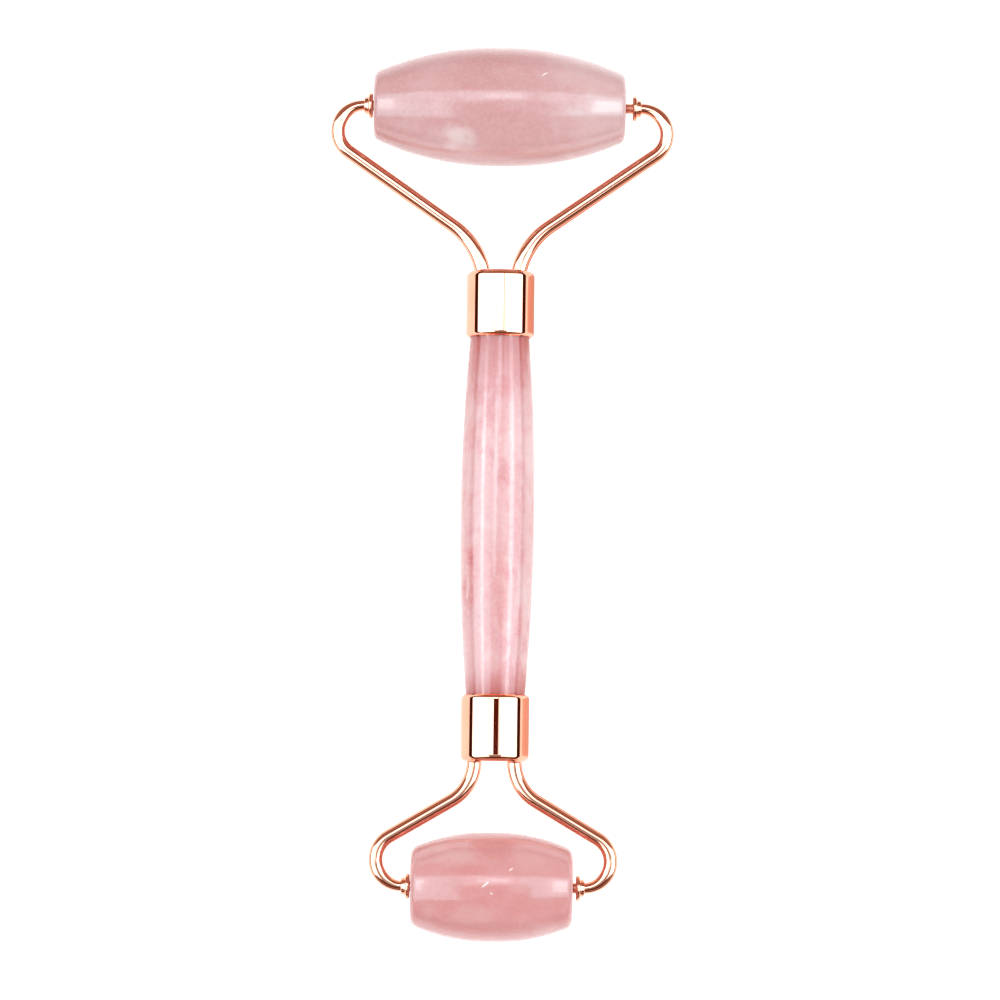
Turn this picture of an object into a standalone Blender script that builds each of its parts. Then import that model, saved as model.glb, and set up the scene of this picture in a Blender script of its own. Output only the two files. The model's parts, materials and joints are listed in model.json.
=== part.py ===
"""Double-ended face roller: two barrel-shaped rose quartz rollers in wire forks, on a rose quartz handle.

The object lies on its two rollers, +Z up, with the handle along Y and the large roller at +Y.
The origin is the centre of the footprint, on the surface under the rollers. Run it with
blender --background --python part.py, or from Blender's text editor.
"""

from math import asin, atan2, cos, hypot, pi, radians, sin, sqrt

import bmesh
import bpy

MM = 0.001

# Driving dimensions, in millimetres.
# Rollers: radius at the crown, length, radius of the barrel's side, radius of the rim's fillet.
LARGE_RADIUS, LARGE_LENGTH, LARGE_BARREL, LARGE_RIM = 9.7, 41.0, 46.0, 1.3
SMALL_RADIUS, SMALL_LENGTH, SMALL_BARREL, SMALL_RIM = 8.84, 26.2, 28.5, 1.6
CROWN_LAND = 2.0  # width of the cylindrical band at a roller's crown
LARGE_BORE_DEPTH, SMALL_BORE_DEPTH = 10.0, 8.0
BORE_RADIUS = 1.25
DRILL_TIP = 0.7  # depth of the cone that the drill leaves past the bore's full width

# Handle: visible length, radius at the middle and at the ferrules' mouths, tenon, chamfer.
HANDLE_VISIBLE = 58.15
HANDLE_MIDDLE_RADIUS, HANDLE_END_RADIUS = 6.03, 4.8
TENON_LENGTH, TENON_CHAMFER = 6.4, 0.4

# Ferrules: a drawn cup.
FERRULE_RADIUS, FERRULE_LENGTH = 5.55, 10.8
FERRULE_WALL, FERRULE_END_WALL = 0.45, 0.8
FERRULE_SHOULDER, FERRULE_LIP = 1.3, 0.2

# Forks: from a roller's axis to its ferrule's closed end.
LARGE_REACH, SMALL_REACH = 27.0, 20.2
WIRE_RADIUS, NECK_RADIUS, PIN_RADIUS = 1.15, 0.875, 0.8
PIN_TIP_RADIUS, PIN_CHAMFER = 0.56, 0.3
NECK_START, NECK_SHOULDER = 0.12, 0.2  # the neck starts inside the collar, with a short cone up from the pin
LOOP_STEPS, FOOT_STEPS = 14, 8
NECK_SHARE, FOOT_SHARE = 0.45, 0.5  # shares of the loop and of the foot over which the wire thickens
TAIL_LENGTH = 2.7  # straight wire inside a ferrule, past its end wall

# Collars and bushes.
COLLAR_RADIUS, COLLAR_RIM, COLLAR_LENGTH = 2.075, 0.55, 1.45
HUB_BASE_RADIUS, HUB_TOP_RADIUS, HUB_CHAMFER = 1.6, 1.35, 0.15
BUSH_OUTER, BUSH_INNER, BUSH_RECESS = 1.2, 0.85, 0.15

# Clearances between neighbouring pieces.
WIRE_HOLE_GAP = 0.1
HOLE_START = 6.0  # how far outside the ferrule's closed end a hole's cutter starts
COLLAR_GAP = 0.06
PLUG_GAP = 0.1
BUSH_END_GAP = 0.1
WELD_DISTANCE = 1e-6  # metres

ROLLER_STEPS, METAL_STEPS, SMALL_STEPS, BUSH_STEPS = 40, 32, 20, 16
WIRE_BEVEL_RESOLUTION = 4

# Worked out from the dimensions above.
FERRULE_SPAN = HANDLE_VISIBLE + 2 * FERRULE_LENGTH
AXIS_SPACING = LARGE_REACH + FERRULE_SPAN + SMALL_REACH
TILT = asin((LARGE_RADIUS - SMALL_RADIUS) / AXIS_SPACING)  # the rollers' radii differ, so the handle slopes
TOTAL_LENGTH = AXIS_SPACING * cos(TILT) + LARGE_RADIUS + SMALL_RADIUS
LARGE_AXIS_Y = TOTAL_LENGTH / 2 - LARGE_RADIUS
SMALL_AXIS_Y = SMALL_RADIUS - TOTAL_LENGTH / 2
HANDLE_CENTRE = LARGE_REACH + FERRULE_SPAN / 2  # from the large roller's axis

# Each fork in the plane of its wires: u runs outwards from the handle's axis, v from the roller's axis
# to the ferrule. loop is the bend round the roller's end, foot the bend into the ferrule.
LARGE_FORK = {
    "reach": LARGE_REACH,
    "outer_u": 26.82,
    "loop_radius": 4.2,
    "foot_radius": 11.8,
    "foot_u": 2.73,
    "foot_v": LARGE_REACH + 2.3,
    "foot_wire_radius": 1.28,
    "collar_u": 21.17,
    "pin_tip_u": 12.0,
    "roller_shift": -0.5,
}
SMALL_FORK = {
    "reach": SMALL_REACH,
    "outer_u": 18.98,
    "loop_radius": 4.3,
    "foot_radius": 7.3,
    "foot_u": 3.25,
    "foot_v": SMALL_REACH,
    "foot_wire_radius": 1.22,
    "collar_u": 13.42,
    "pin_tip_u": 6.4,
    "roller_shift": -0.2,
}

STONE_ROLLER = {"colour": (0.70, 0.40, 0.41), "roughness": 0.22, "metallic": 0.0}
STONE_HANDLE = {"colour": (0.80, 0.42, 0.44), "roughness": 0.22, "metallic": 0.0}
PLATED_METAL = {"colour": (0.93, 0.55, 0.43), "roughness": 0.15, "metallic": 1.0}
NYLON = {"colour": (0.85, 0.83, 0.78), "roughness": 0.5, "metallic": 0.0}
ADHESIVE = {"colour": (0.80, 0.75, 0.60), "roughness": 0.4, "metallic": 0.0}


# ---------------------------------------------------------------- scene and objects


def clear_scene():
    for old in list(bpy.data.objects):
        bpy.data.objects.remove(old)


def new_collection(name):
    collection = bpy.data.collections.new(name)
    bpy.context.scene.collection.children.link(collection)
    return collection


def give_material(obj, look):
    material = bpy.data.materials.new(obj.name)
    material.use_nodes = True
    shader = material.node_tree.nodes["Principled BSDF"]
    shader.inputs["Base Color"].default_value = (*look["colour"], 1.0)
    shader.inputs["Roughness"].default_value = look["roughness"]
    shader.inputs["Metallic"].default_value = look["metallic"]
    obj.data.materials.append(material)


def new_empty(name, collection, location, rotation=(0, 0, 0)):
    empty = bpy.data.objects.new(name, None)
    empty.location = [value * MM for value in location]
    empty.rotation_euler = rotation
    collection.objects.link(empty)
    return empty


# ---------------------------------------------------------------- turned pieces


def turned(name, profile, steps, collection, look, parent=None):
    """A solid of revolution about its own Z, from (radius, height) points that run down its outer side.

    The facets' flats lie on the true radii, so the points are moved out to the corners between flats.
    """
    grow = MM / cos(pi / steps)
    mesh = bpy.data.meshes.new(name)
    points = [(radius * grow, 0, height * MM) for radius, height in profile]
    edges = [(i, i + 1) for i in range(len(points) - 1)]
    on_axis = profile[0][0] == 0 and profile[-1][0] == 0
    if not on_axis:
        edges.append((len(points) - 1, 0))
    mesh.from_pydata(points, edges, [])
    obj = bpy.data.objects.new(name, mesh)
    collection.objects.link(obj)
    screw = obj.modifiers.new("turn", "SCREW")
    screw.axis = "Z"
    screw.angle = 2 * pi
    screw.steps = steps
    screw.render_steps = steps
    screw.use_merge_vertices = True
    screw.merge_threshold = WELD_DISTANCE
    screw.use_smooth_shade = True
    obj.parent = parent
    if look is not None:
        give_material(obj, look)
    return obj


def point_axis(obj, direction, steps):
    """Turns obj's Z to +X, -X, +Y or -Y, with the middle of a facet, not a corner, facing up and down."""
    half_step = pi / steps
    turns = {
        "+X": (0, pi / 2, half_step),
        "-X": (0, -pi / 2, half_step),
        "+Y": (-pi / 2, 0, half_step),
        "-Y": (pi / 2, 0, half_step),
    }
    obj.rotation_mode = "ZYX"
    obj.rotation_euler = turns[direction]


def arc(centre, radius, start, end, segments):
    """Points (radius, height) on an arc, from angle start to angle end, measured from the +radius side."""
    angles = [start + (end - start) * i / segments for i in range(segments + 1)]
    return [(centre[0] + radius * cos(a), centre[1] + radius * sin(a)) for a in angles]


# ---------------------------------------------------------------- rollers and bushes


def barrel_half(radius, length, barrel, rim):
    """The roller's upper half, from the flat end face to the crown: (radius, height) points."""
    land = CROWN_LAND / 2
    barrel_centre = (radius - barrel, land)
    rim_height = length / 2 - rim
    rim_centre = (
        barrel_centre[0] + sqrt((barrel - rim) ** 2 - (rim_height - land) ** 2),
        rim_height,
    )
    slope = atan2(rim_height - land, rim_centre[0] - barrel_centre[0])
    return arc(rim_centre, rim, pi / 2, slope, 4) + arc(barrel_centre, barrel, slope, 0, 7)[1:]


def roller_profile(radius, length, barrel, rim, bore_depth):
    upper = barrel_half(radius, length, barrel, rim)
    bore_end = length / 2 - bore_depth
    bore = [(0, bore_end - DRILL_TIP), (BORE_RADIUS, bore_end), (BORE_RADIUS, length / 2)]
    top = bore + upper
    return top + [(r, -height) for r, height in reversed(top)]


def make_roller(name, radius, length, barrel, rim, bore_depth, fork, axis_y, collection):
    """One stone roller and the nylon bush in each of its blind bores, on a parent empty on its axis."""
    axle = new_empty(f"{name}_axis", collection, (fork["roller_shift"], axis_y, radius))
    profile = roller_profile(radius, length, barrel, rim, bore_depth)
    roller = turned(name, profile, ROLLER_STEPS, collection, STONE_ROLLER, axle)
    point_axis(roller, "+X", ROLLER_STEPS)
    size = name.split("_")[0]
    for side, direction, sign in (("left", "-X", -1), ("right", "+X", 1)):
        mouth, depth = length / 2 - BUSH_RECESS, length / 2 - bore_depth + BUSH_END_GAP
        ring = [(BUSH_OUTER, mouth), (BUSH_OUTER, depth), (BUSH_INNER, depth), (BUSH_INNER, mouth)]
        bush = turned(f"{size}_{side}_bush", ring, BUSH_STEPS, collection, NYLON, axle)
        point_axis(bush, direction, BUSH_STEPS)


# ---------------------------------------------------------------- handle, ferrules and adhesive


def make_handle(frame, collection):
    half = HANDLE_VISIBLE / 2
    sag = HANDLE_MIDDLE_RADIUS - HANDLE_END_RADIUS
    bow = (half**2 + sag**2) / (2 * sag)
    slope = asin(half / bow)
    barrel = arc((HANDLE_MIDDLE_RADIUS - bow, 0), bow, slope, -slope, 12)
    end, chamfer = half + TENON_LENGTH, TENON_CHAMFER
    upper = [(0, end), (HANDLE_END_RADIUS - chamfer, end), (HANDLE_END_RADIUS, end - chamfer)]
    profile = upper + barrel + [(r, -height) for r, height in reversed(upper)]
    handle = turned("handle", profile, METAL_STEPS, collection, STONE_HANDLE, frame)
    handle.location = (0, -HANDLE_CENTRE * MM, 0)
    point_axis(handle, "+Y", METAL_STEPS)


def ferrule_profile():
    """The cup with its closed end at height 0 and its mouth at FERRULE_LENGTH below it."""
    shoulder, lip = FERRULE_SHOULDER, FERRULE_LIP
    inner = FERRULE_RADIUS - FERRULE_WALL
    inner_shoulder = shoulder - FERRULE_WALL
    outer = arc((FERRULE_RADIUS - shoulder, -shoulder), shoulder, pi / 2, 0, 6)
    mouth = arc((FERRULE_RADIUS - lip, lip - FERRULE_LENGTH), lip, 0, -pi / 2, 3)
    back = (inner, -FERRULE_LENGTH)
    hollow_centre = (inner - inner_shoulder, -FERRULE_END_WALL - inner_shoulder)
    hollow = arc(hollow_centre, inner_shoulder, 0, pi / 2, 4)
    return [(0, 0)] + outer + mouth + [back] + hollow + [(0, -FERRULE_END_WALL)]


def plug_profile():
    top = -FERRULE_END_WALL - PLUG_GAP
    bottom = TENON_LENGTH - FERRULE_LENGTH + PLUG_GAP
    radius = FERRULE_RADIUS - FERRULE_WALL - PLUG_GAP
    chamfer = FERRULE_SHOULDER - FERRULE_WALL
    return [(0, top), (radius - chamfer, top), (radius, top - chamfer), (radius, bottom), (0, bottom)]


def cut(obj, cutters):
    for cutter in cutters:
        boolean = obj.modifiers.new("wire_hole", "BOOLEAN")
        boolean.operation = "DIFFERENCE"
        boolean.solver = "EXACT"
        boolean.object = cutter


def make_ferrule(size, fork, axis_v, toward, frame, collection, cutter_collection):
    """The cup and its adhesive plug, both with a hole for each wire."""
    cutters = [
        make_wire(
            f"{size}_{side}_hole", fork, axis_v, toward, sign, WIRE_HOLE_GAP, frame, cutter_collection
        )
        for side, sign in (("left", -1), ("right", 1))
    ]
    pieces = (
        (f"{size}_ferrule", ferrule_profile(), PLATED_METAL),
        (f"{size}_adhesive_plug", plug_profile(), ADHESIVE),
    )
    for name, profile, look in pieces:
        piece = turned(name, profile, METAL_STEPS, collection, look, frame)
        piece.location = (0, (axis_v + toward * fork["reach"]) * MM, 0)
        point_axis(piece, "+Y" if toward < 0 else "-Y", METAL_STEPS)
        cut(piece, cutters)


# ---------------------------------------------------------------- wire arms and collars


def wire_centreline(fork):
    """(u, v, radius) along one arm, from the pin's tip, round the loop and down into the ferrule."""
    loop, foot = fork["loop_radius"], fork["foot_radius"]
    loop_u, loop_v = fork["outer_u"] - loop, loop
    foot_u, foot_v = fork["foot_u"] + foot, fork["foot_v"]
    apart = hypot(foot_u - loop_u, foot_v - loop_v)
    straight = atan2(foot_v - loop_v, foot_u - loop_u) + asin((loop + foot) / apart)
    neck_u = fork["collar_u"] - NECK_START
    points = [
        (fork["pin_tip_u"], 0, PIN_TIP_RADIUS),
        (fork["pin_tip_u"] + PIN_CHAMFER, 0, PIN_RADIUS),
        (neck_u - NECK_SHOULDER, 0, PIN_RADIUS),
        (neck_u, 0, NECK_RADIUS),
    ]
    for i in range(LOOP_STEPS + 1):
        share = i / LOOP_STEPS
        angle = straight * share
        taper = min(1, share / NECK_SHARE)
        radius = NECK_RADIUS + (WIRE_RADIUS - NECK_RADIUS) * taper * taper * (3 - 2 * taper)
        points.append((loop_u + loop * sin(angle), loop_v - loop * cos(angle), radius))
    for i in range(FOOT_STEPS + 1):
        share = i / FOOT_STEPS
        angle = straight + (pi / 2 - straight) * share
        radius = WIRE_RADIUS + (fork["foot_wire_radius"] - WIRE_RADIUS) * min(1, share / FOOT_SHARE)
        points.append((foot_u - foot * sin(angle), foot_v + foot * cos(angle), radius))
    tail_v = fork["reach"] + FERRULE_END_WALL + TAIL_LENGTH
    points.append((fork["foot_u"], tail_v, fork["foot_wire_radius"]))
    return points


def make_wire(name, fork, axis_v, toward, sign, gap, frame, collection, look=None):
    """An arm as a mesh tube. With gap, it is the cutter for the hole that the wire's foot goes through."""
    line = wire_centreline(fork)
    if gap:
        first = next(i for i, (u, v, radius) in enumerate(line) if v > fork["reach"] - HOLE_START)
        last_u, last_v, last_radius = line[-1]
        line = line[first:-1] + [(last_u, last_v + gap, last_radius)]
        sides = 4 + 2 * WIRE_BEVEL_RESOLUTION
        gap += fork["foot_wire_radius"] * (1 / cos(pi / sides) - 1)
    curve = bpy.data.curves.new(name, "CURVE")
    curve.dimensions = "3D"
    curve.twist_mode = "Z_UP"
    curve.bevel_depth = MM
    curve.bevel_resolution = WIRE_BEVEL_RESOLUTION
    curve.use_fill_caps = True
    spline = curve.splines.new("POLY")
    spline.points.add(len(line) - 1)
    for point, (u, v, radius) in zip(spline.points, line):
        point.co = (sign * u * MM, (axis_v + toward * v) * MM, 0, 1)
        point.radius = radius + gap
    guide = bpy.data.objects.new(name, curve)
    collection.objects.link(guide)
    guide.parent = frame
    return mesh_from_curve(guide, collection, frame, look)


def mesh_from_curve(guide, collection, frame, look):
    """Replaces a curve object by a closed mesh object of the same name, place and parent."""
    bpy.context.view_layer.update()
    name = guide.name
    evaluated = guide.evaluated_get(bpy.context.evaluated_depsgraph_get())
    mesh = bpy.data.meshes.new_from_object(evaluated)
    welded = bmesh.new()
    welded.from_mesh(mesh)
    bmesh.ops.remove_doubles(welded, verts=welded.verts, dist=WELD_DISTANCE)
    bmesh.ops.recalc_face_normals(welded, faces=welded.faces)
    welded.to_mesh(mesh)
    welded.free()
    place = guide.matrix_world.copy()
    bpy.data.objects.remove(guide)
    obj = bpy.data.objects.new(name, mesh)
    collection.objects.link(obj)
    obj.parent = frame
    obj.matrix_world = place
    mesh.shade_smooth()
    mesh.set_sharp_from_angle(angle=radians(40))
    if look is None:
        obj.hide_render = True
        obj.display_type = "WIRE"
    else:
        give_material(obj, look)
    return obj


def collar_profile():
    """A thin disc with a rounded rim, and a conical hub above it, with a bore for the wire's neck."""
    rim_radius = COLLAR_RIM / 2
    disc = arc((COLLAR_RADIUS - rim_radius, rim_radius), rim_radius, pi / 2, -pi / 2, 4)
    bore = NECK_RADIUS + COLLAR_GAP
    hub = [(HUB_TOP_RADIUS - HUB_CHAMFER, COLLAR_LENGTH), (HUB_TOP_RADIUS, COLLAR_LENGTH - HUB_CHAMFER)]
    hub.append((HUB_BASE_RADIUS, COLLAR_RIM))
    return [(bore, COLLAR_LENGTH)] + hub + disc + [(bore, 0)]


def make_fork(size, fork, axis_v, toward, frame, collection):
    for side, sign, direction in (("left", -1, "-X"), ("right", 1, "+X")):
        name = f"{size}_{side}_arm"
        make_wire(name, fork, axis_v, toward, sign, 0, frame, collection, PLATED_METAL)
        name = f"{size}_{side}_collar"
        collar = turned(name, collar_profile(), SMALL_STEPS, collection, PLATED_METAL, frame)
        collar.location = (sign * fork["collar_u"] * MM, axis_v * MM, 0)
        point_axis(collar, direction, SMALL_STEPS)


# ---------------------------------------------------------------- assembly


def build():
    clear_scene()
    parts = new_collection("face_roller")
    cutters = new_collection("cutters")
    frame = new_empty("frame_axis", parts, (0, LARGE_AXIS_Y, LARGE_RADIUS), (TILT, 0, 0))
    make_handle(frame, parts)
    for size, fork, axis_v, toward in (
        ("large", LARGE_FORK, 0, -1),
        ("small", SMALL_FORK, -AXIS_SPACING, 1),
    ):
        make_ferrule(size, fork, axis_v, toward, frame, parts, cutters)
        make_fork(size, fork, axis_v, toward, frame, parts)
    make_roller(
        "large_roller", LARGE_RADIUS, LARGE_LENGTH, LARGE_BARREL, LARGE_RIM,
        LARGE_BORE_DEPTH, LARGE_FORK, LARGE_AXIS_Y, parts,
    )
    make_roller(
        "small_roller", SMALL_RADIUS, SMALL_LENGTH, SMALL_BARREL, SMALL_RIM,
        SMALL_BORE_DEPTH, SMALL_FORK, SMALL_AXIS_Y, parts,
    )


build()
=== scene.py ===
"""Looks of the face roller: polished rose quartz and rose-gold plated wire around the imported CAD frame.

The tool lies on its two rollers, with +Z up. Places are in metres in the world's axes, and the dimensions
of its pieces are in millimetres, in the tool's own axes.
"""

import json
from math import asin, atan2, cos, hypot, pi, radians, sin, sqrt, tan

import bmesh
import bpy
from mathutils import Matrix, Vector


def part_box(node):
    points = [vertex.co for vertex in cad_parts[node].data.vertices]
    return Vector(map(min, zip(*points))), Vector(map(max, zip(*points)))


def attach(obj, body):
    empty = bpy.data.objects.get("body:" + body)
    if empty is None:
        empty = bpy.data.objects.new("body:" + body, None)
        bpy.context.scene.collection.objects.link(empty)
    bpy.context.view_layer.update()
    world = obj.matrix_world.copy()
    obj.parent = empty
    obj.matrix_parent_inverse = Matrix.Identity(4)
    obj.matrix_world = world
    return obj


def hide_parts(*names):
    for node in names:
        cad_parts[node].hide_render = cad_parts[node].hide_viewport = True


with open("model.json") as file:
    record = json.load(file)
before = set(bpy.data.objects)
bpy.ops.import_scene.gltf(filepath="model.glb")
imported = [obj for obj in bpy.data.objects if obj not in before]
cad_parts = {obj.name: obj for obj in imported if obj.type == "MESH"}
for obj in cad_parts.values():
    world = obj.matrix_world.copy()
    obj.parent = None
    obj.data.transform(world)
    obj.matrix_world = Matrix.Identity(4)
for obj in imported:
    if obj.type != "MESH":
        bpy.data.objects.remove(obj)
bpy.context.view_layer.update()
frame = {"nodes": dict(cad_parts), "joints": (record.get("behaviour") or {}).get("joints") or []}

MM = 0.001

# ---------------------------------------------------------------- places, from the frame

JOINT_AT = {joint["name"]: Vector(joint["pos_m"]) for joint in frame["joints"]}
LARGE_AXIS = JOINT_AT["large_roller_spin"]
SMALL_AXIS = JOINT_AT["small_roller_spin"]
AXIS_SPACING = (SMALL_AXIS - LARGE_AXIS).length / MM
DOWN_HANDLE = (SMALL_AXIS - LARGE_AXIS).normalized()

# The tool's own axes: X across the forks, Y along the handle towards the large roller, origin on the
# large roller's axis. They tip a little, because the small roller is the thinner one.
TOOL_AXES = Matrix.Translation(LARGE_AXIS) @ Matrix(
    (
        (1, 0, 0, 0),
        (0, -DOWN_HANDLE.y, DOWN_HANDLE.z, 0),
        (0, -DOWN_HANDLE.z, -DOWN_HANDLE.y, 0),
        (0, 0, 0, 1),
    )
)

# ---------------------------------------------------------------- dimensions, in millimetres

# Shared with the CAD source.
BORE_RADIUS, DRILL_TIP = 1.25, 0.7
CROWN_LAND = 2.0
HANDLE_MIDDLE_RADIUS, HANDLE_END_RADIUS = 6.03, 4.8
TENON_LENGTH, TENON_CHAMFER = 6.4, 0.4
FERRULE_RADIUS, FERRULE_LENGTH = 5.55, 10.8
FERRULE_WALL, FERRULE_END_WALL = 0.45, 0.8
WIRE_RADIUS, NECK_RADIUS, PIN_RADIUS = 1.15, 0.875, 0.8
PIN_TIP_RADIUS, PIN_CHAMFER = 0.56, 0.3
NECK_START, NECK_SHOULDER = 0.12, 0.2
NECK_SHARE, FOOT_SHARE = 0.45, 0.5
TAIL_LENGTH = 2.7
COLLAR_RADIUS, COLLAR_LENGTH = 2.075, 1.45
HUB_BASE_RADIUS, HUB_TOP_RADIUS = 1.6, 1.35
LARGE_ROLLER = {"barrel": 46.0, "rim": 1.3, "bore_depth": 10.0}
SMALL_ROLLER = {"barrel": 28.5, "rim": 1.6, "bore_depth": 8.0}
LARGE_FORK = {
    "axis_v": 0.0,
    "toward": -1,
    "reach": 27.0,
    "outer_u": 26.82,
    "loop_radius": 4.2,
    "foot_radius": 11.8,
    "foot_u": 2.73,
    "foot_v": 29.3,
    "foot_wire_radius": 1.28,
    "collar_u": 21.17,
    "pin_tip_u": 12.0,
}
SMALL_FORK = {
    "axis_v": -AXIS_SPACING,
    "toward": 1,
    "reach": 20.2,
    "outer_u": 18.98,
    "loop_radius": 4.3,
    "foot_radius": 7.3,
    "foot_u": 3.25,
    "foot_v": 20.2,
    "foot_wire_radius": 1.22,
    "collar_u": 13.42,
    "pin_tip_u": 6.4,
}
HANDLE_VISIBLE = AXIS_SPACING - LARGE_FORK["reach"] - SMALL_FORK["reach"] - 2 * FERRULE_LENGTH
HANDLE_CENTRE = LARGE_FORK["reach"] + FERRULE_LENGTH + HANDLE_VISIBLE / 2

# Only here: softer roundings than the CAD's, a thicker collar disc, and the two small details that the
# CAD leaves out, a bead of adhesive in each ferrule's mouth and a fillet at the foot of each wire.
FERRULE_SHOULDER, FERRULE_LIP, MOUTH_ROUNDING = 1.0, 0.65, 0.12
ROUNDING_HOLD = 0.1
BORE_MOUTH = 0.12
DISC_HALF, HUB_CHAMFER, HUB_WAIST, WAIST_HEIGHT = 0.36, 0.30, 0.12, 0.06
COLLAR_BORE_GAP = 0.03
BEAD_GAP, BEAD_DEPTH, BEAD_OUTER_RECESS, BEAD_INNER_RECESS = 0.01, 2.0, 0.28, 0.18
FILLET_RADIUS, FILLET_OVERLAP, FILLET_SUNK = 0.2, 0.1, 0.05

STONE_STEPS, METAL_STEPS, SMALL_STEPS, WIRE_SIDES = 160, 128, 64, 32
RIM_STEPS, CROWN_STEPS, HANDLE_STEPS = 12, 28, 64
LOOP_STEPS, FOOT_STEPS = 48, 28


# ---------------------------------------------------------------- mesh helpers


def new_piece(name, build, place, material, body, slot, *nodes):
    """Makes a piece that rides on body, from a bmesh in millimetres, in place of the CAD nodes named."""
    bmesh.ops.recalc_face_normals(build, faces=build.faces)
    build.transform(Matrix.Scale(MM, 4))
    build.transform(place)
    mesh = bpy.data.meshes.new(name)
    build.to_mesh(mesh)
    build.free()
    mesh.shade_smooth()
    mesh.set_sharp_from_angle(angle=radians(45))
    mesh.materials.append(material)
    piece = bpy.data.objects.new(name, mesh)
    bpy.context.scene.collection.objects.link(piece)
    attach(piece, body)
    if nodes:
        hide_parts(*nodes)


def new_stage_piece(name, build, material):
    """Makes a mesh object that isn't part of the tool, from a bmesh in metres."""
    mesh = bpy.data.meshes.new(name)
    build.to_mesh(mesh)
    build.free()
    mesh.materials.append(material)
    piece = bpy.data.objects.new(name, mesh)
    bpy.context.scene.collection.objects.link(piece)
    return piece


def lathe(profile, steps):
    """A solid of revolution about Z from (radius, height) points. A point on the axis is one vertex."""
    build = bmesh.new()
    angles = [2 * pi * i / steps for i in range(steps)]
    rings = []
    for radius, height in profile:
        if radius == 0:
            rings.append([build.verts.new((0, 0, height))])
        else:
            rings.append([build.verts.new((radius * cos(a), radius * sin(a), height)) for a in angles])
    closed = len(rings[0]) > 1 and len(rings[-1]) > 1
    pairs = list(zip(rings, rings[1:])) + ([(rings[-1], rings[0])] if closed else [])
    for upper, lower in pairs:
        for i in range(steps):
            j = (i + 1) % steps
            corners = [upper[i % len(upper)], upper[j % len(upper)]]
            corners += [lower[j % len(lower)], lower[i % len(lower)]]
            face = list(dict.fromkeys(corners))
            if len(face) > 2:
                build.faces.new(face)
    return build


def sweep(line, sides):
    """A closed tube along (x, y, radius) points in the XY plane."""
    build = bmesh.new()
    up = Vector((0, 0, 1))
    rings = []
    for i, (x, y, radius) in enumerate(line):
        before, after = line[max(i - 1, 0)], line[min(i + 1, len(line) - 1)]
        run = Vector((after[0] - before[0], after[1] - before[1], 0)).normalized()
        across = Vector((-run.y, run.x, 0))
        ring = []
        for k in range(sides):
            angle = 2 * pi * k / sides
            outward = cos(angle) * across + sin(angle) * up
            ring.append(build.verts.new(Vector((x, y, 0)) + radius * outward))
        rings.append(ring)
    for first, second in zip(rings, rings[1:]):
        for k in range(sides):
            m = (k + 1) % sides
            build.faces.new((first[k], first[m], second[m], second[k]))
    build.faces.new(rings[0])
    build.faces.new(rings[-1])
    return build


def arc(centre, radius, start, end, segments):
    """Points (radius, height) on an arc, from angle start to angle end."""
    angles = [start + (end - start) * i / segments for i in range(segments + 1)]
    return [(centre[0] + radius * cos(a), centre[1] + radius * sin(a)) for a in angles]


def along_tool(y, direction):
    """Places a lathe's Z along the handle, towards +Y or -Y, with its origin at y in the tool's axes."""
    turn = Matrix.Rotation(-pi / 2 if direction > 0 else pi / 2, 4, "X")
    return TOOL_AXES @ Matrix.Translation((0, y * MM, 0)) @ turn


def across_tool(x, y, sign):
    """Places a lathe's Z across a fork, towards +X or -X, with its origin at x, y in the tool's axes."""
    turn = Matrix.Rotation(sign * pi / 2, 4, "Y")
    return TOOL_AXES @ Matrix.Translation((x * MM, y * MM, 0)) @ turn


# ---------------------------------------------------------------- node trees


def socket_of(sockets, name, kind):
    """The socket of that name and type: a Mix node has several of each name."""
    return next(socket for socket in sockets if socket.name == name and socket.type == kind)


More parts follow.
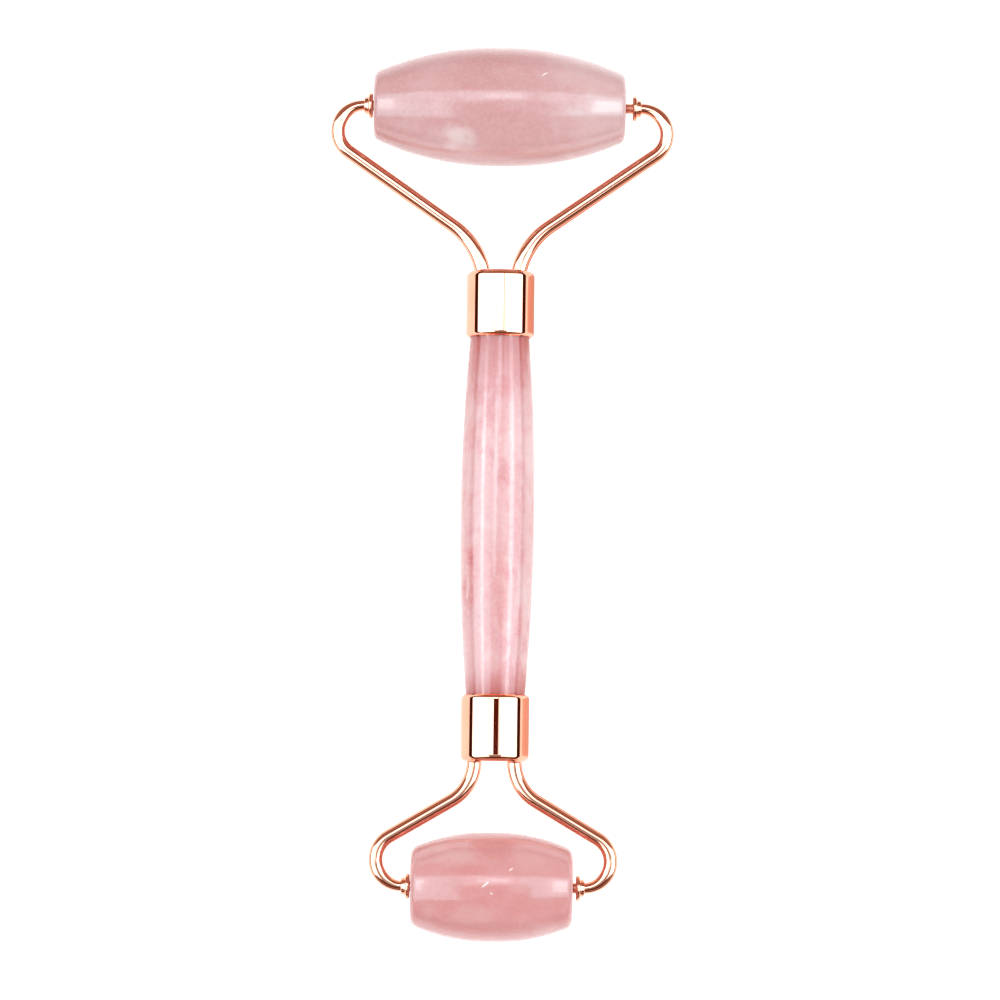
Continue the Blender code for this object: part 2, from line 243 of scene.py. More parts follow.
class NodeTree:
    """A short way to write a node tree."""

    def __init__(self, tree):
        self.nodes, self.links = tree.nodes, tree.links

    def put(self, target, value):
        """Links a socket to another, or sets its value."""
        if isinstance(value, bpy.types.NodeSocket):
            self.links.new(value, target)
        else:
            target.default_value = value

    def node(self, kind, settings=None, inputs=None):
        """A new node, with its settings and inputs."""
        made = self.nodes.new(kind)
        for key, value in (settings or {}).items():
            setattr(made, key, value)
        for key, value in (inputs or {}).items():
            self.put(made.inputs[key], value)
        return made

    def remap(self, value, from_low, from_high, to_low, to_high, smooth=False):
        """Maps one range of a number to another, and holds it at the ends."""
        settings = {"interpolation_type": "SMOOTHSTEP" if smooth else "LINEAR"}
        inputs = {"Value": value, "From Min": from_low, "From Max": from_high}
        inputs.update({"To Min": to_low, "To Max": to_high})
        return self.node("ShaderNodeMapRange", settings, inputs).outputs["Result"]

    def band(self, value, low, high, soft):
        """1 while value is between low and high, with soft edges."""
        rise = self.remap(value, low - soft, low + soft, 0.0, 1.0, True)
        fall = self.remap(value, high - soft, high + soft, 1.0, 0.0, True)
        return self.math("MULTIPLY", rise, fall)

    def math(self, operation, first, second=0.0, third=0.0):
        """The result of one Math node."""
        inputs = {0: first, 1: second, 2: third}
        return self.node("ShaderNodeMath", {"operation": operation}, inputs).outputs[0]

    def mix(self, share, first, second):
        """A number between first and second."""
        made = self.nodes.new("ShaderNodeMix")
        for key, value in (("Factor", share), ("A", first), ("B", second)):
            self.put(socket_of(made.inputs, key, "VALUE"), value)
        return socket_of(made.outputs, "Result", "VALUE")

    def blend(self, share, first, second):
        """A colour between first and second, or past them for a share below 0 or above 1."""
        made = self.node("ShaderNodeMix", {"data_type": "RGBA", "clamp_factor": False}, {"Factor": share})
        for key, value in (("A", first), ("B", second)):
            colour = value if isinstance(value, bpy.types.NodeSocket) else (*value, 1.0)
            self.put(socket_of(made.inputs, key, "RGBA"), colour)
        return socket_of(made.outputs, "Result", "RGBA")

    def split(self, vector):
        """A vector's x, y and z."""
        made = self.node("ShaderNodeSeparateXYZ", None, {"Vector": vector})
        return made.outputs["X"], made.outputs["Y"], made.outputs["Z"]


class Graph(NodeTree):
    """One material's node tree, written round its Principled shader. Noise scales are per metre."""

    def __init__(self, name):
        self.material = bpy.data.materials.new(name)
        self.material.use_nodes = True
        super().__init__(self.material.node_tree)
        self.shader = self.nodes["Principled BSDF"]
        self.place = self.nodes.new("ShaderNodeTexCoord").outputs["Object"]

    def noise(self, scale, detail=3.0, distortion=0.0, place=None):
        """Noise from about 0.3 to 0.7."""
        inputs = {"Vector": place or self.place, "Scale": scale}
        inputs.update({"Detail": detail, "Distortion": distortion})
        return self.node("ShaderNodeTexNoise", None, inputs).outputs["Fac"]

    def moved(self, location=(0, 0, 0), rotation=(0, 0, 0), scale=(1, 1, 1), kind="POINT"):
        """The object's own place, moved, turned and scaled."""
        inputs = {"Vector": self.place, "Location": location, "Rotation": rotation, "Scale": scale}
        return self.node("ShaderNodeMapping", {"vector_type": kind}, inputs).outputs["Vector"]

    def spot(self, centre, turn, half_sizes, inner, wobble=None):
        """1 inside an ellipsoid round centre, fading to 0 at its surface from inner times its size."""
        place = self.moved(centre, (0, 0, turn), half_sizes, "TEXTURE")
        distance = self.node("ShaderNodeVectorMath", {"operation": "LENGTH"}, {0: place}).outputs["Value"]
        if wobble is not None:
            distance = self.math("ADD", distance, wobble)
        return self.remap(distance, inner, 1.0, 1.0, 0.0, smooth=True)

    def set_shader(self, **settings):
        """Sets the shader's own values, such as Coat_Weight."""
        for key, value in settings.items():
            self.shader.inputs[key.replace("_", " ")].default_value = value

    def bump(self, height, strength, distance):
        """Raises the surface by height, a number from 0 to 1, times distance."""
        inputs = {"Height": height, "Strength": strength, "Distance": distance}
        normal = self.node("ShaderNodeBump", None, inputs).outputs["Normal"]
        self.put(self.shader.inputs["Normal"], normal)


# ---------------------------------------------------------------- materials

# Each stone's base, deep and pale tones.
LARGE_TONES = (0.74, 0.42, 0.42), (0.715, 0.38, 0.375), (0.85, 0.66, 0.66)
SMALL_TONES = (0.785, 0.385, 0.38), (0.75, 0.325, 0.315), (0.84, 0.52, 0.51)
HANDLE_TONES = (0.845, 0.485, 0.49), (0.78, 0.33, 0.34), (0.92, 0.71, 0.715)
# Near-white of the painted glints, highlights along fissures.
GLINT_TONE = (0.96, 0.90, 0.88)
# Deep red of the painted shade on the handle beside each ferrule.
FERRULE_SHADE_TONE = (0.60, 0.16, 0.15)

# How often each feature of the stone comes, per metre.
PATCH_SCALE, MILK_SCALE, VEIN_SCALE, RAGGED_SCALE = 110.0, 210.0, 130.0, 420.0
POLISH_SCALE, SKIN_SCALE, SPECKLE_SCALE = 700.0, 900.0, 1600.0
MILK_OFFSET = (0.03, 0.07, 0.02)
SPECKLE_SHARE, VEIN_HALF_WIDTH, RAGGEDNESS = 0.16, 0.008, 0.25
SPOT_CORE, GLINT_CORE = 0.25, 0.55
# How sharply the painted shade beside the ferrules rises towards them.
FERRULE_SHADE_POWER = 1.7

PLATING_TONES = (0.95, 0.44, 0.30), (0.93, 0.40, 0.26)
# Heights of the finest relief, in metres.
STONE_BUMP, FINE_BUMP = 0.0001, 0.00005


def quartz_body(graph, tones, grain, patch, milkiness, veining):
    """The stone's colour: deeper patches, milk, fine speckle and, with veining, faint pale veins."""
    base, deep, pale = tones
    body = graph.noise(PATCH_SCALE, 4.0, 0.3, graph.moved(scale=grain))
    milk = graph.noise(MILK_SCALE, 4.0, 0.5, graph.moved(MILK_OFFSET, scale=grain))
    speckle = graph.noise(SPECKLE_SCALE, 2.0)
    colour = graph.blend(graph.remap(body, *patch, 0.0, 0.9, True), base, deep)
    colour = graph.blend(graph.remap(milk, 0.50, 0.72, 0.0, milkiness, True), colour, pale)
    colour = graph.blend(graph.remap(speckle, 0.42, 0.62, 0.0, SPECKLE_SHARE), colour, pale)
    if veining:
        crossing = graph.math("SUBTRACT", graph.noise(VEIN_SCALE, 2.0, 0.5), 0.5)
        crossing = graph.math("ABSOLUTE", crossing)
        line = graph.remap(crossing, 0.0, VEIN_HALF_WIDTH, veining, 0.0, True)
        veins = graph.math("MULTIPLY", line, graph.remap(milk, 0.42, 0.58, 0.0, 1.0))
        colour = graph.blend(veins, colour, pale)
    return colour


def painted_ferrule_shade(graph, middle_y, half, upper_fade, lower_fade):
    """Painted shade: 0 along the handle, rising to 1 at either end, where the stone beside the ferrules
    is painted darker and redder.
    """
    along = graph.split(graph.place)[1]
    upper = graph.math("SUBTRACT", along, middle_y)
    lower = graph.math("SUBTRACT", middle_y, along)
    upper = graph.remap(upper, half - upper_fade, half, 0.0, 1.0)
    lower = graph.remap(lower, half - lower_fade, half, 0.0, 1.0)
    return graph.math("POWER", graph.math("MAXIMUM", upper, lower), FERRULE_SHADE_POWER)


def stone_material(
    name, tones, grain, patch=(0.38, 0.66), milkiness=0.45, veining=0.0, clouds_and_painted_light=(), glints=(), ends=None
):
    """Polished rose quartz. Clouds and glints are placed in it, and ends size the painted shade by the
    ferrules.

    A cloud is (middle, half sizes, strength), paler for a strength above 0 and redder for one below; some
    pale ones are painted light. A glint, a fissure's edge painted near-white as a highlight, is (middle,
    turn about Z, half sizes).
    """
    graph = Graph(name)
    colour = quartz_body(graph, tones, grain, patch, milkiness, veining)
    ragged = graph.remap(graph.noise(RAGGED_SCALE, 3.0), 0.3, 0.7, -RAGGEDNESS, RAGGEDNESS)
    # Some of the pale clouds are painted light: a glow on the large roller, a highlight and a lit side on
    # the handle.
    for centre, half_sizes, strength in clouds_and_painted_light:
        mask = graph.spot(centre, 0, half_sizes, SPOT_CORE, ragged)
        colour = graph.blend(graph.math("MULTIPLY", mask, strength), colour, tones[2])
    # Painted glints: near-white highlights painted along fissures.
    for centre, turn, half_sizes in glints:
        mask = graph.spot(centre, turn, half_sizes, GLINT_CORE)
        colour = graph.blend(mask, colour, GLINT_TONE)
    # Painted shade: the stone darker and redder towards the ferrules.
    if ends:
        colour = graph.blend(painted_ferrule_shade(graph, *ends), colour, FERRULE_SHADE_TONE)
    polish = graph.remap(graph.noise(POLISH_SCALE, 4.0), 0.3, 0.7, 0.16, 0.26)
    graph.put(graph.shader.inputs["Base Color"], colour)
    graph.put(graph.shader.inputs["Roughness"], polish)
    graph.set_shader(IOR=1.54, Specular_IOR_Level=0.3, Coat_Weight=0.42, Coat_Roughness=0.10)
    graph.set_shader(Transmission_Weight=0.25, Subsurface_Weight=0.35)
    graph.set_shader(Subsurface_Radius=(1.0, 0.55, 0.5), Subsurface_Scale=0.002)
    graph.bump(graph.noise(SKIN_SCALE, 3.0), 0.06, STONE_BUMP)
    return graph.material


def metal_material(name, rough_low, rough_high, ripple_scale, depth):
    """Rose-gold plating: bright, with a fine ripple, drawn out along the axis of the smallest scale."""
    graph = Graph(name)
    tone = graph.noise(240.0, 3.0)
    colour = graph.blend(graph.remap(tone, 0.35, 0.7, 0.0, 1.0), *PLATING_TONES)
    ripple = graph.noise(1.0, 2.0, 0.0, graph.moved(scale=ripple_scale))
    graph.put(graph.shader.inputs["Base Color"], colour)
    graph.put(graph.shader.inputs["Roughness"], graph.remap(tone, 0.3, 0.7, rough_low, rough_high))
    graph.set_shader(Metallic=1.0)
    graph.bump(ripple, depth, FINE_BUMP)
    return graph.material


def plastic_material(name, first, second, scale, rough):
    """A moulded or set plastic with a little tone and grain."""
    graph = Graph(name)
    tone = graph.noise(scale, 3.0)
    graph.put(graph.shader.inputs["Base Color"], graph.blend(tone, first, second))
    graph.put(graph.shader.inputs["Roughness"], graph.remap(tone, 0.3, 0.7, rough * 0.85, rough * 1.15))
    graph.bump(graph.noise(scale * 3, 2.0), 0.1, FINE_BUMP)
    return graph.material


# ---------------------------------------------------------------- rollers


def on_top(node, barrel, x, y):
    """The point of a roller's upper side at x along it and y across it from its centre, in mm."""
    low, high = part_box(node)
    radius = (high.z - low.z) / 2 / MM - barrel + sqrt(barrel**2 - x**2)
    return (low + high) / 2 + Vector((x, y, sqrt(radius**2 - y**2))) * MM


def roller_profile(radius, length, barrel, rim, bore_depth):
    """(radius, height) points from one blind bore's end, over the barrel, to the other's."""
    land = CROWN_LAND / 2
    rim_height = length / 2 - rim
    centre = (radius - barrel, land)
    rim_radius = centre[0] + sqrt((barrel - rim) ** 2 - (rim_height - land) ** 2)
    slope = atan2(rim_height - land, rim_radius - centre[0])
    bore_end = length / 2 - bore_depth
    upper = [(0, bore_end - DRILL_TIP), (BORE_RADIUS, bore_end)]
    upper += [(BORE_RADIUS, length / 2 - BORE_MOUTH), (BORE_RADIUS + BORE_MOUTH, length / 2)]
    upper += arc((rim_radius, rim_height), rim, pi / 2, slope, RIM_STEPS)
    upper += arc(centre, barrel, slope, 0, CROWN_STEPS)[1:]
    return upper + [(r, -height) for r, height in reversed(upper)]


def make_roller(size, sizes, material):
    """A roller's stone barrel, in place of the CAD one."""
    node = f"{size}_roller"
    low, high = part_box(node)
    radius, length = (high.z - low.z) / 2 / MM, (high.x - low.x) / MM
    build = lathe(roller_profile(radius, length, **sizes), STONE_STEPS)
    place = Matrix.Translation((low + high) / 2) @ Matrix.Rotation(pi / 2, 4, "Y")
    new_piece(f"{size}_roller_stone", build, place, material, node, "roller_stone", node)


# ---------------------------------------------------------------- handle and ferrules


def make_handle(material):
    """The handle: a long barrel with a plain tenon at each end."""
    half = HANDLE_VISIBLE / 2
    sag = HANDLE_MIDDLE_RADIUS - HANDLE_END_RADIUS
    bow = (half**2 + sag**2) / (2 * sag)
    slope = asin(half / bow)
    end = half + TENON_LENGTH
    upper = [(0, end), (HANDLE_END_RADIUS - TENON_CHAMFER, end), (HANDLE_END_RADIUS, end - TENON_CHAMFER)]
    barrel = arc((HANDLE_MIDDLE_RADIUS - bow, 0), bow, slope, -slope, HANDLE_STEPS)
    build = lathe(upper + barrel + [(r, -height) for r, height in reversed(upper)], STONE_STEPS)
    place = along_tool(-HANDLE_CENTRE, 1)
    new_piece("handle_stone_bar", build, place, material, "frame", "handle_stone", "handle")


def cup_profile():
    """A drawn cup: closed end at height 0 with a rounded shoulder, and a rolled lip at its mouth."""
    inner = FERRULE_RADIUS - FERRULE_WALL
    hollow = FERRULE_SHOULDER - FERRULE_WALL
    shoulder = (FERRULE_RADIUS - FERRULE_SHOULDER, -FERRULE_SHOULDER)
    lip = (FERRULE_RADIUS - FERRULE_LIP, FERRULE_LIP - FERRULE_LENGTH)
    # A ring close to each rounding keeps the long flat faces shaded flat.
    points = [(0, 0), (shoulder[0] - ROUNDING_HOLD, 0)]
    points += arc(shoulder, FERRULE_SHOULDER, pi / 2, 0, 14)
    points += [(FERRULE_RADIUS, shoulder[1] - ROUNDING_HOLD), (FERRULE_RADIUS, lip[1] + ROUNDING_HOLD)]
    points += arc(lip, FERRULE_LIP, 0, -pi / 2, 8)
    mouth = (inner + MOUTH_ROUNDING, MOUTH_ROUNDING - FERRULE_LENGTH)
    points += arc(mouth, MOUTH_ROUNDING, -pi / 2, -pi, 4)
    points += arc((inner - hollow, -FERRULE_END_WALL - hollow), hollow, 0, pi / 2, 6)
    return points + [(0, -FERRULE_END_WALL)]


def bead_profile():
    """The ring of adhesive between the handle and the ferrule. Its face rises towards the handle."""
    inner, outer = HANDLE_END_RADIUS + BEAD_GAP, FERRULE_RADIUS - FERRULE_WALL - BEAD_GAP
    back = BEAD_DEPTH - FERRULE_LENGTH
    face = (outer, BEAD_OUTER_RECESS - FERRULE_LENGTH), (inner, BEAD_INNER_RECESS - FERRULE_LENGTH)
    return [(inner, back), (outer, back), *face]


def make_ferrule(size, fork, metal, glue):
    """A ferrule's cup and the bead of adhesive in its mouth."""
    place = along_tool(fork["axis_v"] + fork["toward"] * fork["reach"], -fork["toward"])
    cup = lathe(cup_profile(), METAL_STEPS)
    new_piece(f"{size}_ferrule_cup", cup, place, metal, "frame", "plated_metal", f"{size}_ferrule")
    bead = lathe(bead_profile(), METAL_STEPS)
    new_piece(f"{size}_mouth_bead", bead, place, glue, "frame", "adhesive")


# ---------------------------------------------------------------- wire arms


def wire_line(fork):
    """(u, v, radius) along one arm, from the pin's tip, round the loop and down into the ferrule."""
    loop, foot = fork["loop_radius"], fork["foot_radius"]
    loop_u, loop_v = fork["outer_u"] - loop, loop
    foot_u, foot_v = fork["foot_u"] + foot, fork["foot_v"]
    apart = hypot(foot_u - loop_u, foot_v - loop_v)
    straight = atan2(foot_v - loop_v, foot_u - loop_u) + asin((loop + foot) / apart)
    neck_u = fork["collar_u"] - NECK_START
    points = [
        (fork["pin_tip_u"], 0, PIN_TIP_RADIUS),
        (fork["pin_tip_u"] + PIN_CHAMFER, 0, PIN_RADIUS),
        (neck_u - NECK_SHOULDER, 0, PIN_RADIUS),
        (neck_u, 0, NECK_RADIUS),
    ]
    for i in range(LOOP_STEPS + 1):
        share = i / LOOP_STEPS
        angle = straight * share
        taper = min(1, share / NECK_SHARE)
        radius = NECK_RADIUS + (WIRE_RADIUS - NECK_RADIUS) * taper * taper * (3 - 2 * taper)
        points.append((loop_u + loop * sin(angle), loop_v - loop * cos(angle), radius))
    for i in range(FOOT_STEPS + 1):
        share = i / FOOT_STEPS
        angle = straight + (pi / 2 - straight) * share
        radius = WIRE_RADIUS + (fork["foot_wire_radius"] - WIRE_RADIUS) * min(1, share / FOOT_SHARE)
        points.append((foot_u - foot * sin(angle), foot_v + foot * cos(angle), radius))
    tail_v = fork["reach"] + FERRULE_END_WALL + TAIL_LENGTH
    return points + [(fork["foot_u"], tail_v, fork["foot_wire_radius"])]


def collar_profile():
    """A thin disc with a round rim, a waist, and a chamfered hub over it, with a bore for the neck."""
    bore = NECK_RADIUS + COLLAR_BORE_GAP
    crown_centre = (HUB_TOP_RADIUS - HUB_CHAMFER, COLLAR_LENGTH - HUB_CHAMFER)
    crown = arc(crown_centre, HUB_CHAMFER, pi / 2, 0, 6)
    waist = [
        (HUB_BASE_RADIUS - HUB_WAIST, 2 * DISC_HALF + WAIST_HEIGHT),
        (HUB_BASE_RADIUS - HUB_WAIST / 2, 2 * DISC_HALF),
    ]
    disc = arc((COLLAR_RADIUS - DISC_HALF, DISC_HALF), DISC_HALF, pi / 2, -pi / 2, 12)
    return [(bore, COLLAR_LENGTH)] + crown + waist + disc + [(bore, 0)]


def fillet_profile(wire_radius):
    """The hollow fillet round a wire where it goes into the ferrule's closed end."""
    outer, inner = wire_radius + FILLET_RADIUS, wire_radius - FILLET_OVERLAP
    hollow = arc((outer, FILLET_RADIUS), FILLET_RADIUS, -pi / 2, -pi, 6)
    return hollow + [(inner, FILLET_RADIUS), (inner, -FILLET_SUNK), (outer, -FILLET_SUNK)]


def make_arms(size, fork, metal):
    """A fork's two wires, each with its collar and the fillet at its foot."""
    line = wire_line(fork)
    foot_place = along_tool(fork["axis_v"] + fork["toward"] * fork["reach"], -fork["toward"])
    for side, sign in (("left", -1), ("right", 1)):
        path = [(sign * u, fork["axis_v"] + fork["toward"] * v, radius) for u, v, radius in line]
        arm, collar = f"{size}_{side}_arm", f"{size}_{side}_collar"
        wire = sweep(path, WIRE_SIDES)
        new_piece(f"{size}_{side}_wire", wire, TOOL_AXES, metal, "frame", "plated_metal", arm)
        washer = lathe(collar_profile(), SMALL_STEPS)
        place = across_tool(sign * fork["collar_u"], fork["axis_v"], sign)
        new_piece(f"{size}_{side}_washer", washer, place, metal, "frame", "plated_metal", collar)
        fillet = lathe(fillet_profile(fork["foot_wire_radius"]), SMALL_STEPS)
        place = foot_place @ Matrix.Translation((sign * fork["foot_u"] * MM, 0, 0))
        new_piece(f"{size}_{side}_root", fillet, place, metal, "frame", "plated_metal")


# ---------------------------------------------------------------- table

TABLE_RADIUS = 0.14
TABLE_TONES = (0.40, 0.40, 0.40), (0.42, 0.42, 0.42)
TABLE_SEEN, TABLE_MIRRORED, TABLE_GLOW = 1.1, 1.0, 0.42
# In reflections the table goes dark past the tool's two ends, between these distances from its middle.
TABLE_DARK_FROM, TABLE_DARK_TO = 0.085, 0.115
TABLE_IN_MIRROR = (1.42, 1.42, 1.42)
SHADE_WIDTH, SHADE_LIFT = 0.060, 0.0003
SHADE_LEFT_FADE, SHADE_RIGHT_FADE, SHADE_END_FADE = 0.007, 0.02, 0.004


def make_table():
    """A round pale table top that glows faintly, as a lit acrylic one does."""
    graph = Graph("table_top")
    tone = graph.noise(20.0, 2.0)
    graph.put(graph.shader.inputs["Base Color"], graph.blend(tone, *TABLE_TONES))
    graph.set_shader(Roughness=1.0, Specular_IOR_Level=0.0, Emission_Color=(1.0, 1.0, 1.0, 1.0))
    path = graph.node("ShaderNodeLightPath").outputs
    away = graph.math("ABSOLUTE", graph.split(graph.place)[1])
    mirrored = graph.remap(away, TABLE_DARK_FROM, TABLE_DARK_TO, TABLE_MIRRORED, 0.0, True)
    glow = graph.mix(path["Is Camera Ray"], TABLE_GLOW, TABLE_SEEN)
    glow = graph.mix(path["Is Glossy Ray"], glow, mirrored)
    graph.put(graph.shader.inputs["Emission Strength"], glow)
    build = bmesh.new()
    bmesh.ops.create_circle(build, cap_ends=True, segments=128, radius=TABLE_RADIUS)
    new_stage_piece("table", build, graph.material)


def make_shade(name, node, rosy):
    """A ferrule's rosy shadow on the table, to the right of it. It shows only in reflections."""
    low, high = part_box(node)
    near, far = low.y - 0.002, high.y + 0.006
    graph = Graph(name)
    x, y = graph.split(graph.place)[:2]
    depth = graph.remap(x, 0.0, SHADE_LEFT_FADE, 0, 1)
    for edge in (
        graph.remap(x, SHADE_WIDTH - SHADE_RIGHT_FADE, SHADE_WIDTH, 1, 0),
        graph.remap(y, near, near + SHADE_END_FADE, 0, 1),
        graph.remap(y, far - SHADE_END_FADE, far, 1, 0),
    ):
        depth = graph.math("MULTIPLY", depth, edge)
    graph.set_shader(Base_Color=(0.0, 0.0, 0.0, 1.0), Emission_Strength=1.0)
    graph.put(graph.shader.inputs["Emission Color"], graph.blend(depth, TABLE_IN_MIRROR, rosy))
    build = bmesh.new()
    corners = ((0, near), (SHADE_WIDTH, near), (SHADE_WIDTH, far), (0, far))
    build.faces.new([build.verts.new((*corner, SHADE_LIFT)) for corner in corners])
    shade = new_stage_piece(name, build, graph.material)
    shade.visible_camera = shade.visible_diffuse = False
    shade.visible_transmission = shade.visible_shadow = False


# ---------------------------------------------------------------- studio

# What the polished surfaces mirror. A direction has a lean, its angle from overhead to the right in
# degrees, and a y and z, the parts of its unit vector along the tool and up. Each pair is where a feature
# starts and ends. Beside a feature's leans is how bright the arch is there.
TENT = (1.0, 1.0, 1.0)
ARCH = (2.9, 3.9, 4.3)
FRONT_END, BACK_END, LOW_END = (0.13, 0.045, 0.025), (0.33, 0.17, 0.12), (0.55, 0.40, 0.33)
LENS, HORIZON = (0.09, 0.014, 0.005), (0.05, 0.014, 0.006)
ARCH_FRONT, ARCH_BACK, ARCH_SKEW, ARCH_SOFT = -0.44, 0.39, 0.10, 0.03
LEFT_SEAM_LEANS, LEFT_SEAM = (-20, -15.5), 0.70
RIGHT_SEAM_LEANS, RIGHT_SEAM = (10.8, 15.5), 0.40
CLOSED_LEANS, OVERHEAD = (-18, 23), 0.12
LENS_LEANS, LENS_Y = (-4.7, 11.8), (0.004, 0.070)
DIM_LEANS, DIM_Y, DIM = (-37, 37), (0.032, 0.088), 0.6
CORE_LEANS, CORE_Y, CORE = (-5, 7), (0.17, 0.30), 2.1
HORIZON_Z, LOW_END_Z = (0.15, 0.19), (0.25, 0.60)
STRIPS = {"strip_left": (-47.5, 5.2), "strip_right": (44, 7.0)}  # leans and half widths, in degrees
STRIP_RADIANCE, STRIP_END_RADIANCE = 5.5, 3.0
SOFTBOX_DISTANCE, SOFTBOX_COLOUR = 1.5, (0.90, 0.98, 1.0)


def patch_of_studio(graph, lean, y, leans, y_range, lean_soft, y_soft):
    """1 in the directions within a pair of leans and a pair of ys."""
    across = graph.band(lean, radians(leans[0]), radians(leans[1]), radians(lean_soft))
    return graph.math("MULTIPLY", across, graph.band(y, *y_range, y_soft))


def arch_share(graph, x, y, lean):
    """How far the bright arch shows in a direction, from 0 at the dark ends to above 1 at its core."""
    # A seam on each side dims the arch. The camera and its arm close the part in front of overhead.
    share = graph.mix(graph.band(lean, *map(radians, LEFT_SEAM_LEANS), radians(1.2)), 1.0, LEFT_SEAM)
    share = graph.mix(graph.band(lean, *map(radians, RIGHT_SEAM_LEANS), radians(1.2)), share, RIGHT_SEAM)
    closed = graph.band(lean, *map(radians, CLOSED_LEANS), radians(1))
    in_front = graph.remap(y, -0.012, 0.012, 1.0, 0.0, True)
    share = graph.mix(graph.math("MULTIPLY", closed, in_front), share, OVERHEAD)
    # The arch is dimmer round the lens, and brightest behind it, where a soft light stands.
    dimmed = patch_of_studio(graph, lean, y, DIM_LEANS, DIM_Y, 4, 0.004)
    share = graph.math("MULTIPLY", share, graph.mix(dimmed, 1.0, DIM))
    core = patch_of_studio(graph, lean, y, CORE_LEANS, CORE_Y, 2.5, 0.03)
    share = graph.mix(core, share, CORE)
    # The arch's front edge comes nearer to overhead on the right than on the left.
    skewed = graph.math("MULTIPLY_ADD", x, -ARCH_SKEW, y)
    front = graph.remap(skewed, ARCH_FRONT - ARCH_SOFT, ARCH_FRONT + ARCH_SOFT, 0.0, 1.0, True)
    back = graph.remap(y, ARCH_BACK - ARCH_SOFT, ARCH_BACK + ARCH_SOFT, 1.0, 0.0, True)
    return graph.math("MULTIPLY", share, graph.math("MULTIPLY", front, back))


def make_world():
    """A white tent for soft light. Reflections show a bright arch from left to right, with dark ends."""
    world = bpy.data.worlds.new("tent")
    bpy.context.scene.world = world
    world.use_nodes = True
    graph = NodeTree(world.node_tree)
    x, y, z = graph.split(graph.node("ShaderNodeTexCoord").outputs["Generated"])
    lean = graph.math("ARCTAN2", x, z)
    ends = graph.blend(graph.remap(y, -0.1, 0.1, 0.0, 1.0), FRONT_END, BACK_END)
    ends = graph.blend(graph.remap(z, *LOW_END_Z, 1.0, 0.0, True), ends, LOW_END)
    lens = patch_of_studio(graph, lean, y, LENS_LEANS, LENS_Y, 1, 0.004)
    overhead = graph.blend(lens, graph.blend(arch_share(graph, x, y, lean), ends, ARCH), LENS)
    mirrored = graph.blend(graph.remap(z, *HORIZON_Z, 0.0, 1.0, True), HORIZON, overhead)
    path = graph.node("ShaderNodeLightPath").outputs["Is Glossy Ray"]
    graph.put(graph.nodes["Background"].inputs["Color"], graph.blend(path, TENT, mirrored))


def make_softbox(name, lean_x, lean_y, half_x, half_y, radiance):
    """An area light that faces the tool. Its leans from overhead and half sizes are in degrees."""
    width = 2 * SOFTBOX_DISTANCE * tan(radians(half_x))
    length = 2 * SOFTBOX_DISTANCE * tan(radians(half_y))
    data = bpy.data.lights.new(name, "AREA")
    data.shape = "RECTANGLE"
    data.size, data.size_y = width, length
    data.energy = radiance * pi * width * length
    data.color = SOFTBOX_COLOUR
    light = bpy.data.objects.new(name, data)
    bpy.context.scene.collection.objects.link(light)
    back = Vector((tan(radians(lean_x)), tan(radians(lean_y)), 1)).normalized()
    across = Vector((0, 1, 0)).cross(back).normalized()
    axes = Matrix((across, back.cross(across), back)).transposed()
    light.matrix_world = Matrix.Translation(back * SOFTBOX_DISTANCE) @ axes.to_4x4()
    light.visible_camera = False


def make_lights():
    """A strip of light on each side, and a dimmer box beyond it, towards the large roller's end."""
    for name, (lean, half_width) in STRIPS.items():
        make_softbox(name, lean, -0.5, half_width, 11.5, STRIP_RADIANCE)
        make_softbox(name + "_end", lean, 15, half_width, 4, STRIP_END_RADIANCE)


# ---------------------------------------------------------------- camera

CAMERA_STAND = Vector((0.0, -0.07203, 0.9093))
CAMERA_TARGET = Vector((0.00037, -0.0012, 0.0093))
VIEW_WIDTH = 0.16231  # of the view at the target
CAMERA_ROLL = radians(0.75)
SENSOR_WIDTH = 36.0  # millimetres


def make_camera():
    """A long lens nearly straight overhead, standing a little towards the small roller's end."""
    data = bpy.data.cameras.new("camera")
    camera = bpy.data.objects.new("camera", data)
    bpy.context.scene.collection.objects.link(camera)
    forward = (CAMERA_TARGET - CAMERA_STAND).normalized()
    right = forward.cross(Vector((0, 1, 0))).normalized()
    up = right.cross(forward)
    turned_right = right * cos(CAMERA_ROLL) + up * sin(CAMERA_ROLL)
    turned_up = up * cos(CAMERA_ROLL) - right * sin(CAMERA_ROLL)
    axes = Matrix((turned_right, turned_up, -forward)).transposed()
    camera.matrix_world = Matrix.Translation(CAMERA_STAND) @ axes.to_4x4()
    distance = (CAMERA_TARGET - CAMERA_STAND).length
    data.sensor_width = SENSOR_WIDTH
    data.lens = SENSOR_WIDTH * distance / VIEW_WIDTH
    data.clip_start, data.clip_end = 0.05, 10.0
    bpy.context.scene.camera = camera


# ---------------------------------------------------------------- the three stones

ROLLER_GRAIN, HANDLE_GRAIN = (0.6, 1.0, 1.0), (1.7, 0.9, 1.7)
# How far the painted shade beside the ferrules reaches along the handle from its upper and its lower end.
UPPER_SHADE_REACH, LOWER_SHADE_REACH = 0.017, 0.006


def large_roller_quartz():
    """Even stone, with a pale spot at the lower left painted as a glow, a paler right end and a painted
    glint.
    """

    def at(x, y):
        """A point of its upper side, in mm from its centre."""
        return on_top("large_roller", LARGE_ROLLER["barrel"], x, y)

    clouds_and_painted_light = [
        # A painted glow: the pale spot at the lower left.
        (at(-6.6, -6.1), (0.0034, 0.0034, 0.0036), 1.15),
        (at(16.0, 4.0), (0.0120, 0.0090, 0.0080), 0.45),
        (at(16.0, -4.0), (0.0100, 0.0080, 0.0070), 0.42),
        (at(1.5, -1.5), (0.0090, 0.0030, 0.0040), -0.22),
    ]
    # A painted glint: a highlight along a fissure.
    glints = [(at(7.1, 4.2), radians(34), (0.00090, 0.00019, 0.0006))]
    features = {"milkiness": 0.22, "veining": 0.15, "clouds_and_painted_light": clouds_and_painted_light, "glints": glints}
    return stone_material("large_roller_quartz", LARGE_TONES, ROLLER_GRAIN, **features)


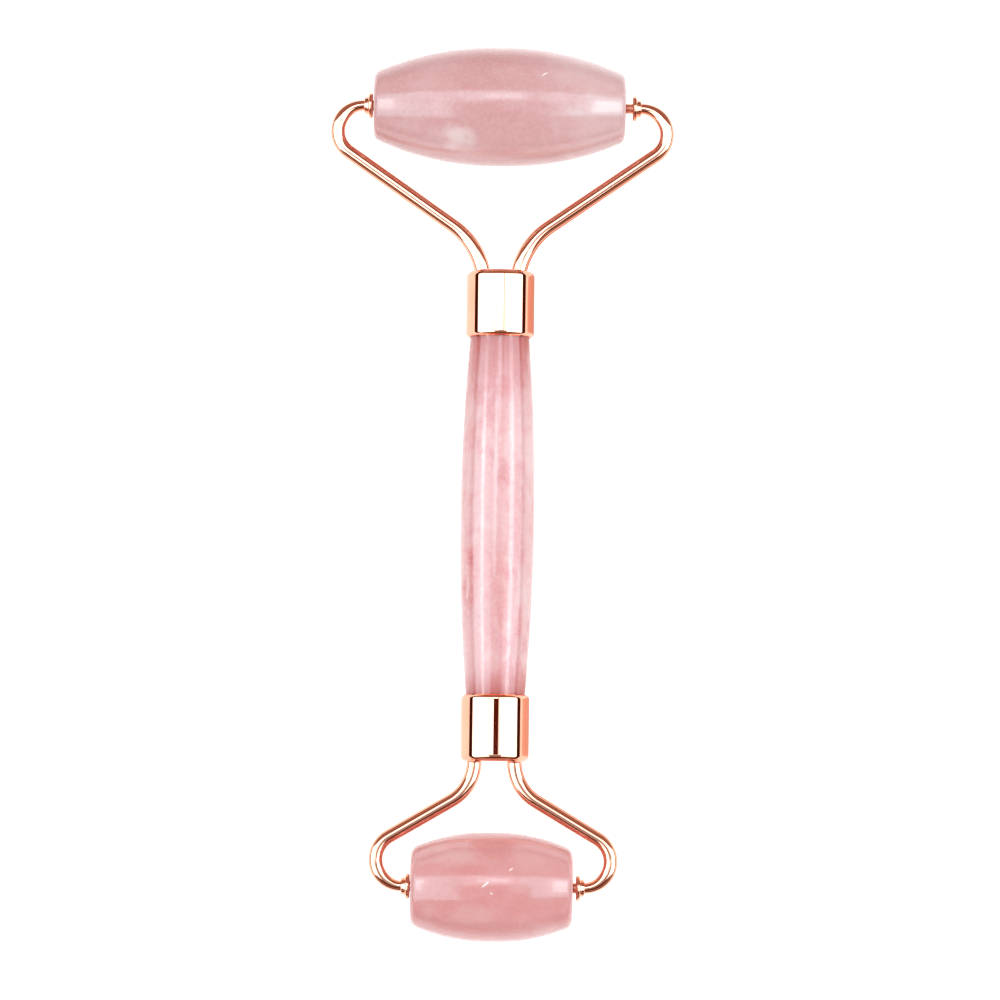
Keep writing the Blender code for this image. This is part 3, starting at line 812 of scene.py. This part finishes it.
def small_roller_quartz():
    """Cloudier stone, redder across its middle, with three painted glints."""

    def at(x, y):
        """A point of its upper side, in mm from its centre."""
        return on_top("small_roller", SMALL_ROLLER["barrel"], x, y)

    clouds_and_painted_light = [
        (at(-5.0, 4.6), (0.0050, 0.0022, 0.0040), 0.6),
        (at(6.0, 4.5), (0.0042, 0.0030, 0.0040), 0.4),
        (at(-3.0, -4.6), (0.0060, 0.0022, 0.0040), 0.45),
        (at(1.0, -0.8), (0.0070, 0.0030, 0.0040), -0.35),
    ]
    glints = [
        # Painted glints: highlights along fissures.
        (at(-1.0, 0.3), radians(38), (0.00090, 0.00019, 0.0006)),
        (at(0.0, -1.1), radians(-35), (0.00040, 0.00013, 0.0006)),
        (at(3.1, 2.8), radians(36), (0.00050, 0.00016, 0.0006)),
    ]
    features = {"veining": 0.35, "clouds_and_painted_light": clouds_and_painted_light, "glints": glints}
    return stone_material("small_roller_quartz", SMALL_TONES, ROLLER_GRAIN, **features)


def handle_quartz():
    """Stone with redder patches, a thin painted highlight along its top and a right side painted paler,
    as a reflection.
    """
    middle = TOOL_AXES @ Vector((0, -HANDLE_CENTRE * MM, 0))
    clouds_and_painted_light = [
        (middle + Vector((0, 0.0065, 0.004)), (0.0090, 0.0150, 0.0090), 0.12),
        (middle + Vector((0.0004, -0.0125, 0.0055)), (0.0032, 0.0100, 0.0050), -0.40),
        (middle + Vector((-0.0044, -0.0095, 0.0040)), (0.0016, 0.0060, 0.0050), -0.40),
        (middle + Vector((0.0004, 0.0090, 0.0055)), (0.0026, 0.0080, 0.0045), -0.42),
        # A painted highlight: a thin pale line along the top.
        (middle + Vector((-0.0004, 0.0068, 0.0058)), (0.00048, 0.0200, 0.0030), 0.70),
        # Painted light: the right side painted paler, as a white reflection there.
        (middle + Vector((0.0047, 0.0000, 0.0034)), (0.0015, 0.0340, 0.0032), 0.45),
    ]
    # The reach of the painted shade that darkens and reddens the handle beside each ferrule.
    ends = (middle.y, HANDLE_VISIBLE / 2 * MM, UPPER_SHADE_REACH, LOWER_SHADE_REACH)
    features = {"patch": (0.44, 0.60), "clouds_and_painted_light": clouds_and_painted_light, "ends": ends}
    return stone_material("handle_quartz", HANDLE_TONES, HANDLE_GRAIN, **features)


# ---------------------------------------------------------------- everything together

plating = metal_material("rose_gold_plating", 0.02, 0.05, (9000, 600, 9000), 0.006)
wire_plating = metal_material("rose_gold_wire", 0.03, 0.06, (2500, 2500, 2500), 0.02)
nylon = plastic_material("nylon_bush", (0.85, 0.83, 0.78), (0.80, 0.78, 0.72), 800.0, 0.5)
epoxy = plastic_material("set_epoxy", (0.80, 0.62, 0.55), (0.72, 0.54, 0.48), 500.0, 0.35)

make_roller("large", LARGE_ROLLER, large_roller_quartz())
make_roller("small", SMALL_ROLLER, small_roller_quartz())
make_handle(handle_quartz())
for fork_size, fork_sizes in (("large", LARGE_FORK), ("small", SMALL_FORK)):
    make_ferrule(fork_size, fork_sizes, plating, epoxy)
    make_arms(fork_size, fork_sizes, wire_plating)
for node_name, node_object in frame["nodes"].items():
    if node_name.endswith(("_bush", "_plug")):
        node_object.data.materials.clear()
        node_object.data.materials.append(nylon if node_name.endswith("_bush") else epoxy)

make_table()
make_shade("large_shade", "large_ferrule", (0.74, 0.38, 0.28))
make_shade("small_shade", "small_ferrule", (0.82, 0.47, 0.36))
make_world()
make_lights()
make_camera()

scene = bpy.context.scene
scene.view_settings.view_transform = "Standard"
scene.view_settings.look = "None"

bpy.context.view_layer.update()
